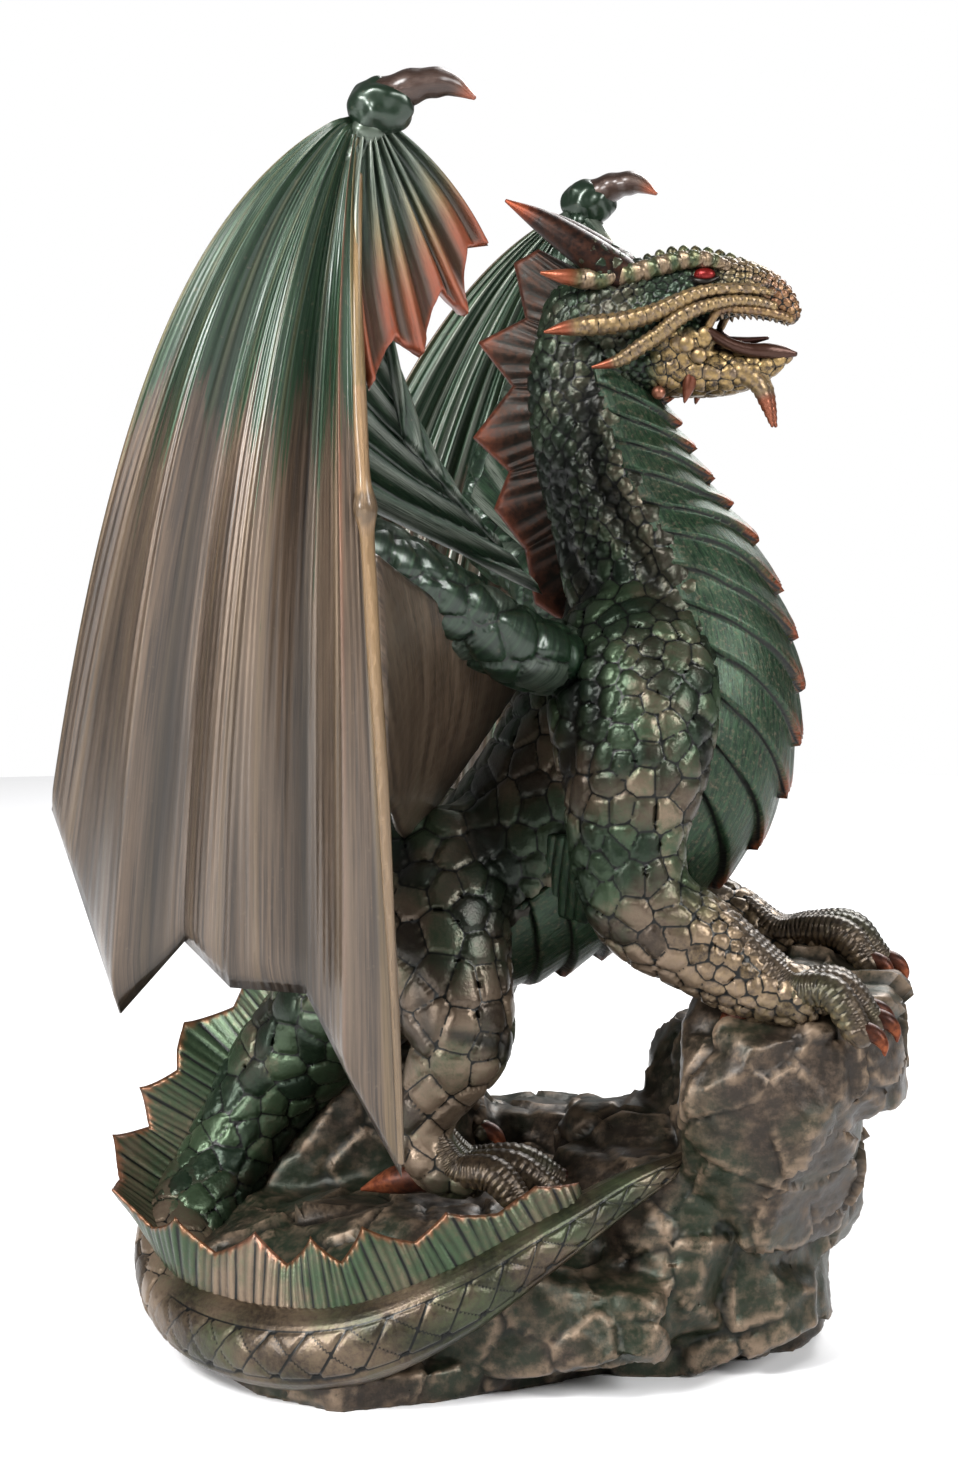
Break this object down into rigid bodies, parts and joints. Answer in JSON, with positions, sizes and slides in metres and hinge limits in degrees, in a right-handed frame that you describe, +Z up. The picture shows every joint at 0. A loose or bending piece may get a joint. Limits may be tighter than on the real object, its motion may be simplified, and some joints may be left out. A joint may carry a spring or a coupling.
{
  "type": "dragon statue",
  "caption": "Standing dragon figure with raised, half folded wings, forefeet up on a rock and a crested tail curled round its base.",
  "frame": {"origin": "middle of the statue's box, on the surface it stands on", "axes": "+X is where the dragon looks, +Y is its left and +Z is up"},
  "size_m": [0.241, 0.2448, 0.3646],
  "materials": {
    "bronzed_resin": "cast resin painted dark bronze, with a green glaze, gold and copper dry brushing and a satin varnish",
    "wing_resin": "cast resin brushed bronze, glazed green towards the wrist, with copper and gold edges and a satin varnish"
  },
  "bodies": {
    "root": {"dragon_on_rock": "bronzed_resin", "right_wing": "wing_resin", "left_wing": "wing_resin"}
  },
  "joints": []
}
